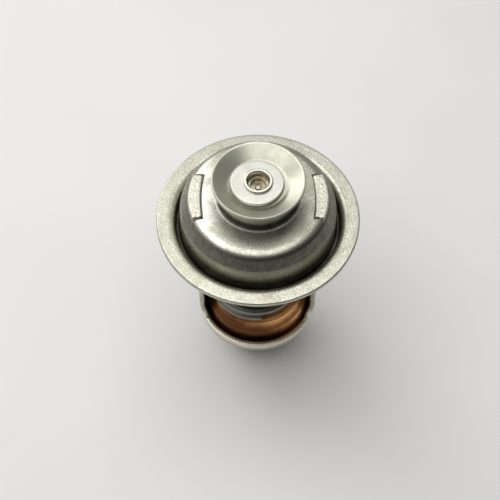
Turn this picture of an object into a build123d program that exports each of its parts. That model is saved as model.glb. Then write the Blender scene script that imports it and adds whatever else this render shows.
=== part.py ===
from build123d import *
import os
from math import asin, atan, atan2, cos, degrees, tan

# An engine thermostat of the kind whose valve lifts off the top of a domed housing.
# All sizes are in millimetres. The origin is the centre of the flange's seating face, +Z points
# up the axis to the valve, and the two legs of the cage stand on the X axis.

# Housing: one pressing with a flange, a stiffening groove, a dome and a neck
flange_diameter = 54.0
flange_share = 0.5  # of the band from the cage's cup to the rim; the flange and its roll take it
housing_sheet = 1.2
flange_roll = 1.8
flange_edge_round = 0.4
groove_width = 1.1
groove_depth = 3.75  # below the flange's upper face
groove_round = 0.5
groove_draft = 0.4
dome_height = 10.1  # upper face of the dome above the seating face
cone_share = 0.24  # of the same band, by which the cone leans in up to the dome's corner
dome_corner_round = 3.0
cone_foot_height = 5.6
cone_foot_round = 2.0
neck_diameter = 20.4
neck_fillet = 1.2
seat_bevel = 0.35
neck_lip_round = 0.3
profile_margin = 2.4  # how far the housing's outline runs past its rim and its neck before trimming

# Valve: a dished disc and its washer, held by the rolled end of a stem
disc_diameter = 24.2
disc_sheet = 0.8
disc_flat_diameter = 15.0
disc_flat_height = 15.5  # upper face of the disc's flat middle
disc_brim_diameter = 23.2
disc_brim_height = 17.8
disc_flat_round = 1.6
disc_brim_round = 1.0
disc_edge_round = 0.3
seat_gap = 0.08  # between the closed disc and the neck
washer_diameter = 13.8
washer_thickness = 1.1
washer_runout = 0.3  # the washer's rim lies this far off its hole, towards -X
washer_edge_round = 0.3
stem_diameter = 7.2
stem_tenon_diameter = 6.8
stem_fit = 0.05
stem_collar_diameter = 10.4
stem_collar_height = 1.6
stem_foot_diameter = 15.0
stem_foot_height = 1.4
stem_foot_fillet = 2.0
lip_diameter = 7.6
lip_height = 0.75
lip_mouth_diameter = 6.1
lip_round = 0.3
rivet_bore = 5.2
rivet_bore_depth = 2.0  # below the crest of the rolled lip
pilot_bore = 4.1
pilot_depth = 1.3
pilot_nub_diameter = 1.6
pilot_nub_height = 0.4
pilot_nub_round = 0.3

# Cage: one drawn cup with a well, two legs and two folded tabs
cage_sheet = 1.5
cup_bore = 31.0
cup_depth = 6.0  # rim to underside of the cup's floor
cup_corner_round = 4.0
well_diameter = 19.0
well_depth = 11.6  # below the underside of the cup's floor
well_bend_round = 1.2
well_corner_round = 2.2
seat_recess_diameter = 4.6
seat_recess_depth = 0.4
leg_half_width = 6.5
leg_foot_half_width = 6.9
leg_root_half_width = 8.8
leg_flare_half_width = 7.5
leg_flare_rise = 1.5
leg_flare_curve = 19.0
leg_curve = 40.0  # radius of the leg's nearly flat inner face
leg_root_rise = 5.5  # height over which the leg leaves the round cup
leg_lean = 0.75  # how much nearer the axis the leg's top stands than its foot
tab_thickness = 1.2
tab_reach_diameter = 36.4  # the tabs' ends are trimmed to this circle
tab_fold_round = 0.9
tab_bend_inner = 0.3
tab_end_round = 0.4
slot_clearance = 0.3
slot_end_clearance = 0.7
slot_land = 0.45
tab_seat_depth = 0.8
tab_cut_reach = 6.0  # how far a tab before trimming, and its seat, run past the leg's inner face
seat_film = 0.02  # between pieces that rest on each other

# Wax element: a copper can closed by a guide, with a diaphragm and a plug that squeeze the piston out
can_top_depth = 33.7  # closed top of the can below the seating face
can_height = 11.0
can_diameter = 29.0
can_crown_diameter = 26.6
can_crown_height = 2.7
can_shoulder_height = 0.8
can_wall = 0.9
can_corner_round = 1.2
can_shoulder_round = 0.5
can_floor_gap = 0.5  # between the can and the floor of the cup, which gives the cage its depth
crimp_thickness = 0.6
crimp_width = 1.9
fit_gap = 0.05  # between pieces that are pressed or packed together inside the can
diaphragm_thickness = 1.0
diaphragm_edge_round = 0.3
plug_mouth_diameter = 12.0
plug_depth = 3.5
plug_fit = 0.1  # between the plug and the funnel's side at its mouth
slip_disc_thickness = 0.8
guide_boss_diameter = 12.0
guide_floor_gap = 0.5  # between the guide and the floor of the well
guide_root_fillet = 0.8
guide_lead = 0.6
piston_diameter = 4.0
piston_fit = 0.05
piston_end_round = 0.4

# Return spring between the roof of the dome and the top of the can, closed and ground at both ends
spring_wire = 2.6
spring_mean_diameter = 23.0
spring_active_turns = 6
spring_closed_pitch = 2.75
spring_grind = 0.9  # taken off the wire at each tip
spring_offset = 0.7  # the coils stand this far off the axis, towards -X
spring_tip_angle = -82.0

# Places worked out from the sizes
flange_radius = flange_diameter / 2
cup_radius = cup_bore / 2
cup_outer_radius = cup_radius + cage_sheet
rim_band = flange_radius - cup_outer_radius
groove_outer_radius = flange_radius - flange_share * rim_band
groove_inner_radius = groove_outer_radius - groove_width
cone_foot_radius = groove_inner_radius - groove_draft
dome_corner_radius = cone_foot_radius - cone_share * rim_band
groove_bottom = housing_sheet - groove_depth
groove_underside = groove_bottom - housing_sheet
dome_underside = dome_height - housing_sheet
neck_radius = neck_diameter / 2
neck_bore_radius = neck_radius - housing_sheet

disc_flat_radius = disc_flat_diameter / 2
disc_brim_radius = disc_brim_diameter / 2
disc_underside = disc_flat_height - disc_sheet
disc_slope = atan((disc_brim_height - disc_flat_height) / (disc_brim_radius - disc_flat_radius))
seat_radius = neck_bore_radius + seat_bevel
seat_rise = (seat_radius - disc_flat_radius) * tan(disc_slope)
neck_top = disc_flat_height + seat_rise - disc_sheet / cos(disc_slope) - seat_gap
profile_rim = flange_radius + profile_margin
profile_top = neck_top + profile_margin
profile_foot = groove_underside - profile_margin
disc_bore_radius = stem_tenon_diameter / 2 + stem_fit
washer_foot = disc_flat_height + seat_film
washer_top = washer_foot + washer_thickness
lip_foot = washer_top + seat_film
lip_crest = lip_foot + lip_height
collar_top = disc_underside - seat_film
rivet_floor = lip_crest - rivet_bore_depth
pilot_floor = rivet_floor - pilot_depth

can_top = -can_top_depth
can_bottom = can_top - can_height
cup_floor = can_bottom - can_floor_gap
cup_underside = cup_floor - cage_sheet
cup_rim = cup_underside + cup_depth
well_radius = well_diameter / 2
well_underside = cup_underside - well_depth
well_floor = well_underside + cage_sheet
recess_floor = well_floor - seat_recess_depth
leg_top_inner = cup_radius - leg_lean
tab_axis_x = leg_top_inner - leg_curve
tab_seat = dome_height - tab_seat_depth
tab_underside = tab_seat + seat_film
tab_top = tab_underside + tab_thickness
leg_top = tab_seat - housing_sheet
leg_outer_curve = leg_curve + cage_sheet
slot_half_width = leg_half_width + slot_end_clearance
slot_cut_height = dome_height - leg_top + slot_clearance
seat_cut_height = dome_height - tab_seat + slot_clearance
tab_cut_end = leg_curve + tab_cut_reach
tab_reach_radius = tab_reach_diameter / 2

can_radius = can_diameter / 2
can_bore_radius = can_radius - can_wall
can_crown_radius = can_crown_diameter / 2
can_crown_foot = can_top - can_crown_height
can_shoulder_foot = can_crown_foot - can_shoulder_height
packed_radius = can_bore_radius - fit_gap
can_shoulder_turn = atan2(can_radius - can_crown_radius, can_shoulder_height)
can_ledge = can_shoulder_foot - can_wall * tan(can_shoulder_turn / 2)
diaphragm_top = can_ledge - fit_gap
diaphragm_underside = diaphragm_top - diaphragm_thickness
wax_foot = diaphragm_top + fit_gap
guide_top = diaphragm_underside - fit_gap
guide_underside = can_bottom + crimp_thickness + fit_gap
guide_foot = well_floor + guide_floor_gap
guide_bore_radius = piston_diameter / 2 + piston_fit
plug_floor = guide_top - plug_depth
slip_disc_top = plug_floor - fit_gap
slip_disc_underside = slip_disc_top - slip_disc_thickness
piston_radius = piston_diameter / 2
piston_foot = recess_floor + seat_film
piston_top = slip_disc_underside - fit_gap
stem_foot_underside = can_top + seat_film
stem_foot_top = stem_foot_underside + stem_foot_height

spring_radius = spring_mean_diameter / 2
spring_foot = can_top + seat_film
spring_head = dome_underside - seat_film
spring_tip_rise = spring_wire / 2 - spring_grind
spring_low_tip = spring_foot + spring_tip_rise
spring_high_tip = spring_head - spring_tip_rise
spring_low_close = spring_low_tip + spring_closed_pitch
spring_high_close = spring_high_tip - spring_closed_pitch
spring_active_height = spring_high_close - spring_low_close
spring_active_pitch = spring_active_height / spring_active_turns


def leg_section(centre_x, inner_radius, outer_radius, half_width):
    """Outline across a leg: two arcs about a centre on the X axis, closed by radial ends."""
    half_angle = degrees(asin(half_width / inner_radius))
    inner_face = CenterArc((centre_x, 0), inner_radius, -half_angle, 2 * half_angle)
    outer_face = CenterArc((centre_x, 0), outer_radius, -half_angle, 2 * half_angle)
    Line(inner_face @ 0, outer_face @ 0)
    Line(inner_face @ 1, outer_face @ 1)


def can_outline():
    """Outside of the can, from the middle of its closed top to the foot of its wall."""
    return FilletPolyline(
        (0, can_top),
        (can_crown_radius, can_top),
        (can_crown_radius, can_crown_foot),
        (can_radius, can_shoulder_foot),
        (can_radius, can_bottom),
        radius=[can_corner_round, can_shoulder_round, can_corner_round],
    )


# Housing, pressed from one sheet, with a slot and a coined seat for each tab of the cage
with BuildPart() as dome_plate:
    with BuildSketch(Plane.XZ):
        with BuildLine():
            FilletPolyline(
                (profile_rim, housing_sheet),
                (groove_outer_radius, housing_sheet),
                (groove_outer_radius, groove_bottom),
                (groove_inner_radius, groove_bottom),
                (cone_foot_radius, cone_foot_height),
                (dome_corner_radius, dome_height),
                (neck_radius, dome_height),
                (neck_radius, profile_top),
                radius=[
                    flange_roll,
                    groove_round,
                    groove_round,
                    cone_foot_round,
                    dome_corner_round,
                    neck_fillet,
                ],
            )
            Polyline(
                (neck_radius, profile_top),
                (0, profile_top),
                (0, profile_foot),
                (profile_rim, profile_foot),
                (profile_rim, housing_sheet),
            )
        make_face()
        offset(amount=-housing_sheet, mode=Mode.SUBTRACT)
        with Locations((neck_bore_radius, groove_underside)):
            Rectangle(
                flange_radius - neck_bore_radius,
                neck_top - groove_underside,
                align=(Align.MIN, Align.MIN),
                mode=Mode.INTERSECT,
            )
    revolve(axis=Axis.Z)
    flange_edges = dome_plate.edges().filter_by(GeomType.CIRCLE).group_by(SortBy.RADIUS)[-1]
    fillet(flange_edges.sort_by(Axis.Z)[-1], flange_edge_round)
    neck_edges = dome_plate.edges().filter_by(GeomType.CIRCLE).group_by(Axis.Z)[-1].sort_by(SortBy.RADIUS)
    chamfer(neck_edges[0], seat_bevel)
    neck_edges = dome_plate.edges().filter_by(GeomType.CIRCLE).group_by(Axis.Z)[-1].sort_by(SortBy.RADIUS)
    fillet(neck_edges[-1], neck_lip_round)
    with BuildSketch(Plane.XY.offset(leg_top)):
        with BuildLine():
            leg_section(
                tab_axis_x,
                leg_curve - slot_clearance - slot_land,
                leg_outer_curve + slot_clearance + slot_land,
                slot_half_width + slot_land,
            )
        make_face()
        mirror(about=Plane.YZ)
    extrude(amount=housing_sheet)
    with BuildSketch(Plane.XY.offset(leg_top)):
        with BuildLine():
            leg_section(
                tab_axis_x,
                leg_curve - slot_clearance,
                leg_outer_curve + slot_clearance,
                slot_half_width,
            )
        make_face()
        mirror(about=Plane.YZ)
    extrude(amount=slot_cut_height, mode=Mode.SUBTRACT)
    with BuildSketch(Plane.XY.offset(tab_seat)):
        with BuildLine():
            leg_section(tab_axis_x, leg_outer_curve, tab_cut_end, slot_half_width)
        make_face()
        mirror(about=Plane.YZ)
    extrude(amount=seat_cut_height, mode=Mode.SUBTRACT)
dome_plate.part.label = "dome_plate"

# Cage: the cup with its well, then one leg with its folded tab, mirrored to the other side
tab_angle = degrees(asin(leg_half_width / leg_curve))
tab_x_dir = Vector(1, 0, 0).rotate(Axis.Z, -tab_angle)
tab_plane = Plane(origin=(tab_axis_x, 0, 0), x_dir=tab_x_dir, z_dir=tab_x_dir.cross(Vector(0, 0, 1)))

with BuildPart() as leg:
    with BuildSketch(Plane.XY.offset(cup_rim)):
        with BuildLine():
            leg_section(0, cup_radius, cup_outer_radius, leg_root_half_width)
        make_face()
    with BuildSketch(Plane.XY.offset(cup_rim + leg_flare_rise)):
        with BuildLine():
            leg_section(
                cup_radius - leg_flare_curve,
                leg_flare_curve,
                leg_flare_curve + cage_sheet,
                leg_flare_half_width,
            )
        make_face()
    with BuildSketch(Plane.XY.offset(cup_rim + leg_root_rise)):
        with BuildLine():
            leg_section(cup_radius - leg_curve, leg_curve, leg_outer_curve, leg_foot_half_width)
        make_face()
    with BuildSketch(Plane.XY.offset(leg_top)):
        with BuildLine():
            leg_section(tab_axis_x, leg_curve, leg_outer_curve, leg_half_width)
        make_face()
    loft(ruled=True)

with BuildPart() as tab:
    with BuildSketch(tab_plane):
        with BuildLine():
            FilletPolyline(
                (leg_outer_curve, leg_top),
                (leg_outer_curve, tab_underside),
                (tab_cut_end, tab_underside),
                (tab_cut_end, tab_top),
                (leg_curve, tab_top),
                (leg_curve, leg_top),
                radius=[tab_bend_inner, tab_bend_inner, tab_bend_inner, tab_fold_round],
            )
            Line((leg_outer_curve, leg_top), (leg_curve, leg_top))
        make_face()
    revolve(axis=Axis((tab_axis_x, 0, 0), (0, 0, 1)), revolution_arc=2 * tab_angle)
    with BuildSketch(Plane.XY.offset(leg_top)):
        Circle(tab_reach_radius)
    extrude(amount=tab_top, mode=Mode.INTERSECT)
    tab_end = tab.faces().filter_by(GeomType.CYLINDER).sort_by(Axis.X)[-1]
    fillet(tab_end.edges().sort_by(Axis.Z)[-1], tab_end_round)

with BuildPart() as cage:
    with BuildSketch(Plane.XZ):
        with BuildLine():
            FilletPolyline(
                (0, well_underside),
                (well_radius, well_underside),
                (well_radius, cup_underside),
                (cup_outer_radius, cup_underside),
                (cup_outer_radius, cup_rim),
                radius=[well_corner_round, well_bend_round, cup_corner_round],
            )
            offset(amount=cage_sheet, side=Side.LEFT)
        make_face()
    revolve(axis=Axis.Z)
    with BuildSketch(Plane.XY.offset(recess_floor)):
        Circle(seat_recess_diameter / 2)
    extrude(amount=cage_sheet, mode=Mode.SUBTRACT)
    add(leg.part)
    add(tab.part)
    mirror(leg.part, about=Plane.YZ)
    mirror(tab.part, about=Plane.YZ)
cage.part.label = "cage"

# Dished disc of the valve
with BuildPart() as valve_disc:
    with BuildSketch(Plane.XZ):
        with BuildLine():
            FilletPolyline(
                (disc_bore_radius, disc_flat_height),
                (disc_flat_radius, disc_flat_height),
                (disc_brim_radius, disc_brim_height),
                (disc_diameter / 2, disc_brim_height),
                radius=[disc_flat_round, disc_brim_round],
            )
            offset(amount=disc_sheet, side=Side.RIGHT)
        make_face()
    revolve(axis=Axis.Z)
    disc_edges = valve_disc.edges().filter_by(GeomType.CIRCLE).group_by(SortBy.RADIUS)[-1]
    fillet(disc_edges.sort_by(Axis.Z)[-1], disc_edge_round)
valve_disc.part.label = "valve_disc"

# Washer under the rolled end of the stem, stamped a little off centre
with BuildPart() as hub_washer:
    with BuildSketch(Plane.XY.offset(washer_foot)):
        with Locations((-washer_runout, 0)):
            Circle(washer_diameter / 2)
        Circle(disc_bore_radius, mode=Mode.SUBTRACT)
    extrude(amount=washer_thickness)
    fillet(hub_washer.edges().group_by(Axis.Z)[-1].sort_by(SortBy.RADIUS)[-1], washer_edge_round)
hub_washer.part.label = "hub_washer"

# Stem with its broad foot, collar, tenon and rolled end
with BuildPart() as valve_stem:
    with BuildSketch(Plane.XZ):
        with BuildLine():
            Polyline(
                (0, stem_foot_underside),
                (stem_foot_diameter / 2, stem_foot_underside),
                (stem_foot_diameter / 2, stem_foot_top),
                (stem_diameter / 2, stem_foot_top),
                (stem_diameter / 2, collar_top - stem_collar_height),
                (stem_collar_diameter / 2, collar_top - stem_collar_height),
                (stem_collar_diameter / 2, collar_top),
                (stem_tenon_diameter / 2, collar_top),
                (stem_tenon_diameter / 2, lip_foot),
                (lip_diameter / 2, lip_foot),
                (lip_diameter / 2, lip_crest),
                (lip_mouth_diameter / 2, lip_crest),
                (rivet_bore / 2, lip_foot),
                (rivet_bore / 2, rivet_floor),
                (pilot_bore / 2, rivet_floor),
                (pilot_bore / 2, pilot_floor),
                (pilot_nub_diameter / 2, pilot_floor),
                (pilot_nub_diameter / 2, pilot_floor + pilot_nub_height),
                (0, pilot_floor + pilot_nub_height),
                (0, stem_foot_underside),
            )
        make_face()
    revolve(axis=Axis.Z)
    stem_edges = valve_stem.edges().filter_by(GeomType.CIRCLE)
    foot_edges = stem_edges.filter_by_position(Axis.Z, stem_foot_top - seat_film, stem_foot_top + seat_film)
    fillet(foot_edges.sort_by(SortBy.RADIUS)[0], stem_foot_fillet)
    stem_edges = valve_stem.edges().filter_by(GeomType.CIRCLE)
    fillet(stem_edges.group_by(Axis.Z)[-1], lip_round)
    nub_edges = valve_stem.edges().filter_by(GeomType.CIRCLE).sort_by(SortBy.RADIUS)
    nub_rim = nub_edges.filter_by_position(Axis.Z, pilot_floor + seat_film, rivet_floor - seat_film)
    fillet(nub_rim[0], pilot_nub_round)
valve_stem.part.label = "valve_stem"

# Return spring, wound left hand, with closed end coils that are ground flat
spring_x_dir = Vector(1, 0, 0).rotate(Axis.Z, spring_tip_angle)
spring_plane = Plane(origin=(-spring_offset, 0, 0), x_dir=spring_x_dir, z_dir=(0, 0, 1))

with BuildPart() as return_spring:
    with BuildLine(spring_plane) as coil:
        Helix(
            spring_closed_pitch,
            spring_closed_pitch,
            spring_radius,
            center=(0, 0, spring_low_tip),
            lefthand=True,
        )
        Helix(
            spring_active_pitch,
            spring_active_height,
            spring_radius,
            center=(0, 0, spring_low_close),
            lefthand=True,
        )
        Helix(
            spring_closed_pitch,
            spring_closed_pitch,
            spring_radius,
            center=(0, 0, spring_high_close),
            lefthand=True,
        )
    with BuildSketch(Plane(origin=coil.line @ 0, z_dir=coil.line % 0)):
        Circle(spring_wire / 2)
    sweep(path=coil.line, is_frenet=True)
    split(bisect_by=Plane.XY.offset(spring_foot), keep=Keep.TOP)
    split(bisect_by=Plane.XY.offset(spring_head), keep=Keep.BOTTOM)
return_spring.part.label = "return_spring"

# Copper can, drawn with a shouldered crown and crimped in at its foot
with BuildPart() as element_cup:
    with BuildSketch(Plane.XZ):
        with BuildLine():
            can_outline()
            offset(amount=can_wall, side=Side.RIGHT)
        make_face()
    revolve(axis=Axis.Z)
    with BuildSketch(Plane.XY.offset(can_bottom)):
        Circle(can_radius - crimp_thickness / 2)
        Circle(can_radius - crimp_thickness - crimp_width, mode=Mode.SUBTRACT)
    extrude(amount=crimp_thickness)
    can_edges = element_cup.edges().filter_by(GeomType.CIRCLE).group_by(Axis.Z)[0].sort_by(SortBy.RADIUS)
    fillet(can_edges[-1], crimp_thickness)
element_cup.part.label = "element_cup"

# Guide that closes the can, with the piston's bore below a funnel for the plug
with BuildPart() as piston_guide:
    with BuildSketch(Plane.XY.offset(guide_underside)):
        Circle(packed_radius)
    extrude(amount=guide_top - guide_underside)
    with BuildSketch(Plane.XY.offset(guide_foot)):
        Circle(guide_boss_diameter / 2)
    extrude(amount=guide_underside - guide_foot)
    boss_edges = piston_guide.edges().filter_by(GeomType.CIRCLE).group_by(Axis.Z)
    chamfer(boss_edges[0], guide_lead)
    boss_edges = piston_guide.edges().filter_by(GeomType.CIRCLE)
    root_edges = boss_edges.filter_by_position(Axis.Z, guide_underside - fit_gap, guide_underside + fit_gap)
    fillet(root_edges.sort_by(SortBy.RADIUS)[0], guide_root_fillet)
    with BuildSketch(Plane.XY.offset(guide_foot)):
        Circle(guide_bore_radius)
    extrude(amount=guide_top - guide_foot, mode=Mode.SUBTRACT)
    bore_edges = piston_guide.edges().filter_by(GeomType.CIRCLE).group_by(Axis.Z)[0].sort_by(SortBy.RADIUS)
    chamfer(bore_edges[0], guide_lead)
    with BuildSketch(Plane.XZ):
        with BuildLine():
            Polyline(
                (0, plug_floor),
                (guide_bore_radius, plug_floor),
                (plug_mouth_diameter / 2, guide_top),
                (0, guide_top),
                close=True,
            )
        make_face()
    revolve(axis=Axis.Z, mode=Mode.SUBTRACT)
piston_guide.part.label = "piston_guide"

# Slippery disc between the plug and the piston
with BuildPart() as slip_disc:
    with BuildSketch(Plane.XY.offset(slip_disc_underside)):
        Circle(piston_radius)
    extrude(amount=slip_disc_thickness)
slip_disc.part.label = "slip_disc"

# Rubber plug in the funnel of the guide
with BuildPart() as rubber_plug:
    with BuildSketch(Plane.XZ):
        with BuildLine():
            Polyline(
                (0, plug_floor),
                (piston_radius, plug_floor),
                (plug_mouth_diameter / 2 - plug_fit, guide_top),
                (0, guide_top),
                close=True,
            )
        make_face()
    revolve(axis=Axis.Z)
rubber_plug.part.label = "rubber_plug"

# Rubber diaphragm, clamped between the guide and the shoulder of the can
with BuildPart() as diaphragm:
    with BuildSketch(Plane.XY.offset(diaphragm_underside)):
        Circle(packed_radius)
    extrude(amount=diaphragm_thickness)
    fillet(diaphragm.edges().group_by(Axis.Z)[-1], diaphragm_edge_round)
diaphragm.part.label = "diaphragm"

# Wax that fills the can above the diaphragm
with BuildPart() as wax_charge:
    with BuildSketch(Plane.XZ):
        with BuildLine():
            with BuildLine(mode=Mode.PRIVATE) as can_line:
                can_outline()
            wax_side = offset(can_line.line, amount=can_wall + fit_gap, side=Side.RIGHT, closed=False)
            Polyline(wax_side @ 1, (0, can_bottom), wax_side @ 0)
        make_face()
    revolve(axis=Axis.Z)
    split(bisect_by=Plane.XY.offset(wax_foot), keep=Keep.TOP)
wax_charge.part.label = "wax_charge"

# Hard steel piston that stands in the well of the cage
with BuildPart() as piston:
    with BuildSketch(Plane.XY.offset(piston_foot)):
        Circle(piston_radius)
    extrude(amount=piston_top - piston_foot)
    fillet(piston.edges().filter_by(GeomType.CIRCLE), piston_end_round)
piston.part.label = "piston"

os.makedirs("parts", exist_ok=True)
export_step(dome_plate.part, "parts/dome_plate.step")
export_step(cage.part, "parts/cage.step")
export_step(valve_disc.part, "parts/valve_disc.step")
export_step(hub_washer.part, "parts/hub_washer.step")
export_step(valve_stem.part, "parts/valve_stem.step")
export_step(return_spring.part, "parts/return_spring.step")
export_step(element_cup.part, "parts/element_cup.step")
export_step(piston_guide.part, "parts/piston_guide.step")
export_step(slip_disc.part, "parts/slip_disc.step")
export_step(rubber_plug.part, "parts/rubber_plug.step")
export_step(diaphragm.part, "parts/diaphragm.step")
export_step(wax_charge.part, "parts/wax_charge.step")
export_step(piston.part, "parts/piston.step")
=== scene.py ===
import math

import bmesh
import bpy
import numpy as np
from bpy.props import FloatProperty, FloatVectorProperty, PointerProperty
from bpy.types import Operator, Panel, PropertyGroup
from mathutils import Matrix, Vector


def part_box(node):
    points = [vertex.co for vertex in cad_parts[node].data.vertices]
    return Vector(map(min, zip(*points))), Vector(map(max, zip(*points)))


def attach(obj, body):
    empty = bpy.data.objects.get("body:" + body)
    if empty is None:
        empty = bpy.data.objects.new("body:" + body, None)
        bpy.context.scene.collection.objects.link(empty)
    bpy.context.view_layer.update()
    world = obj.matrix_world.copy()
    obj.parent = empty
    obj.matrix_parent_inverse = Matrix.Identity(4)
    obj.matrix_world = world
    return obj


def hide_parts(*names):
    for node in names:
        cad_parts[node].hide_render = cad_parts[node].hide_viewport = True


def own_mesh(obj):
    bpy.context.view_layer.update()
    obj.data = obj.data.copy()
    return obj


bl_info = {
    "name": "Engine Thermostat Dressing",
    "version": (1, 0, 0),
    "blender": (4, 5, 0),
    "location": "View3D > Sidebar > Thermostat",
    "description": "Gives a packed engine thermostat its pressings, spring, can and finishes",
    "category": "Add Mesh",
}

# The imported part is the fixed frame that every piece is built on. All lengths are in metres, the
# origin is the centre of the flange's seating face, +Z points up the axis, and -Y is the front.
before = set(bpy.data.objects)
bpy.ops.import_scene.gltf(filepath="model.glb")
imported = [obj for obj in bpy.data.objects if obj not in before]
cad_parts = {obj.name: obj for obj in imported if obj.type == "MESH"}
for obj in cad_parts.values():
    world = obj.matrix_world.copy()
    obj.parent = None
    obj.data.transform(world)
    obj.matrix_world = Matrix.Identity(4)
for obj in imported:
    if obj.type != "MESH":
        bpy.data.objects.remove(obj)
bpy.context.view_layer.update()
MM = 0.001
PLATE_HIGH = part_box("dome_plate")[1]
CAGE_LOW, CAGE_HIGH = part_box("cage")
DISC_LOW, DISC_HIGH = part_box("valve_disc")
WASHER_LOW, WASHER_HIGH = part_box("hub_washer")
STEM_LOW, STEM_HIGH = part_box("valve_stem")
CAN_LOW, CAN_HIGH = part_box("element_cup")
GUIDE_LOW, GUIDE_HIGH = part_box("piston_guide")
PISTON_LOW, PISTON_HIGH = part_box("piston")

# Roundings of the small edges, from a sharp one to a soft one
FINE_EDGE = 0.08 * MM
BROKEN_EDGE = 0.1 * MM
SHEARED_EDGE = 0.12 * MM
EASED_EDGE = 0.15 * MM
PLAIN_EDGE = 0.2 * MM
SOFT_EDGE = 0.3 * MM

# Longest runs between points along a profile
CLOSE_STEP = 0.5 * MM
HOUSING_STEP = 0.7 * MM
WIDE_STEP = 0.8 * MM
SHARP_ANGLE = math.radians(35.0)

# Where each lamp stands and what it faces, where the sky is brightest, and over which stretch of
# that direction it goes from dim to bright
OVERHEAD_LAMP = (-0.13, 0.05, 0.50), (-0.13, 0.05, 0.0)
BACK_LEFT_LAMP = (-0.34, 0.40, 0.26), (0.0, 0.0, 0.0)
BRIGHT_SKY = (-0.55, 0.68, 0.48)
SKY_FADE = -0.6, 0.9

# The sealed pieces: their finish, its two colours, its roughness and its grains for each metre
BLACK, SOOT = (0.02, 0.02, 0.02), (0.035, 0.034, 0.033)
SEALED = {
    "diaphragm": ("diaphragm_rubber_moulded", BLACK, SOOT, 0.6, 3000.0),
    "rubber_plug": ("plug_rubber_moulded", (0.03, 0.03, 0.03), (0.05, 0.049, 0.047), 0.55, 3000.0),
    "slip_disc": ("slip_disc_skived", (0.82, 0.81, 0.78), (0.75, 0.74, 0.70), 0.45, 2500.0),
    "wax_charge": ("wax_copper_filled", (0.42, 0.22, 0.13), (0.30, 0.15, 0.09), 0.5, 2000.0),
}


# Settings

def length(label, millimetres, description):
    """A length that the sidebar shows, given in millimetres and kept in metres."""
    size = millimetres * MM
    return FloatProperty(
        name=label, description=description, default=size, unit="LENGTH", precision=5
    )


def angle(label, degrees, description):
    """An angle that the sidebar shows, given in degrees."""
    return FloatProperty(
        name=label, description=description, default=math.radians(degrees), subtype="ANGLE"
    )


def number(label, value, description):
    """A plain number that the sidebar shows."""
    return FloatProperty(name=label, description=description, default=value)


def colour(label, rgb, description):
    """A colour that the sidebar shows, as linear red, green and blue."""
    return FloatVectorProperty(
        name=label, description=description, default=rgb, size=3, min=0.0, max=1.0, subtype="COLOR"
    )


class ThermostatHousing(PropertyGroup):
    """Sizes of the housing pressing."""

    sheet: length("Sheet", 1.2, "Thickness of the housing's sheet")
    flange_radius: length("Flange radius", PLATE_HIGH.x / MM, "From the axis to the flange's rim")
    groove_outer: length("Groove outer radius", 22.0, "Where the rolled edge ends in the groove")
    groove_width: length("Groove width", 1.1, "Width of the stiffening groove")
    groove_floor: length("Groove floor", -2.55, "Height of the groove's floor")
    groove_round: length("Groove round", 0.5, "Radius in the corners of the groove")
    flange_roll: length("Flange roll", 1.8, "Radius of the rolled edge of the flange")
    rim_round: length("Rim round", 0.4, "Radius on the upper edge of the flange's rim")
    wall_draft: length("Wall draft", 0.4, "How far the dome's wall leans in up to the cone")
    cone_foot: length("Cone foot", 5.6, "Height where the dome's wall turns into the cone")
    cone_foot_round: length("Cone foot round", 2.0, "Radius of that turn")
    dome_corner: length("Dome corner radius", 18.1, "From the axis to the corner of the roof")
    dome_corner_round: length("Dome corner round", 3.0, "Radius of that corner")
    dome_top: length("Dome top", 10.1, "Height of the dome's upper face")
    neck_radius: length("Neck radius", 10.2, "Outer radius of the neck")
    neck_fillet: length("Neck fillet", 1.2, "Radius where the neck rises from the dome")
    neck_top: length("Neck top", PLATE_HIGH.z / MM, "Height of the neck's lip")
    seat_bevel: length("Seat bevel", 0.35, "Bevel inside the neck's lip")


class ThermostatCage(PropertyGroup):
    """Sizes of the cage pressing with its legs and tabs."""

    sheet: length("Sheet", 1.5, "Thickness of the cage's sheet")
    cup_bore: length("Cup bore radius", 15.5, "Inner radius of the cup")
    rim: length("Cup rim", -40.7, "Height of the cup's rim")
    rim_round: length("Rim round", 0.45, "Radius on sheared edges of the cage")
    cup_floor: length("Cup underside", -46.7, "Height of the cup's underside")
    cup_round: length("Cup corner round", 4.0, "Outer radius of the cup's corner")
    well_radius: length("Well radius", 9.5, "Outer radius of the well")
    well_bend: length("Well bend", 1.2, "Radius where the well meets the cup's floor")
    well_round: length("Well corner round", 2.2, "Outer radius of the well's corner")
    recess_radius: length("Recess radius", 2.3, "Radius of the piston's recess in the well")
    recess_depth: length("Recess depth", 0.4, "Depth of that recess")
    leg_half_width: length("Leg half width", 6.5, "Half the width of a leg under its tab")
    leg_foot_half_width: length("Leg foot half width", 6.7, "Half a leg's width above its root")
    leg_root_half_width: length("Leg root half width", 7.6, "Half a leg's width at the cup's rim")
    leg_curve: length("Leg curve", 40.0, "Radius across the leg's inner face")
    leg_root_rise: length("Leg root rise", 5.5, "Height over which the leg flattens out of the cup")
    leg_root_depth: length("Leg root depth", 1.2, "How deep the foot stands in the cup's wall")
    leg_lean: length("Leg lean", 0.75, "How much nearer the axis the leg stands at its top")
    flare_fade: length("Flare fade", 1.3, "Height over which the root's extra width fades")
    tab_seat: length("Tab underside", 9.32, "Height of a tab's underside")
    tab_top: length("Tab top", CAGE_HIGH.z / MM, "Height of a tab's upper face")
    tab_reach: length("Tab reach", CAGE_HIGH.x / MM, "Radius to which the tabs' ends are trimmed")
    tab_length: length("Tab length", 4.2, "Length of a tab before it is trimmed")
    tab_fold: length("Tab fold round", 0.6, "Outer radius of the tab's fold")
    fold_drop: length("Fold drop", 1.22, "How far under the tab its fold starts")
    slot_gap: length("Slot gap", 0.2, "Between a leg and the slot's long sides")
    slot_end_gap: length("Slot end gap", 0.5, "Between a leg and the slot's ends")
    seat_gap: length("Seat gap", 0.02, "Between a tab and its coined seat on the dome")


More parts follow.
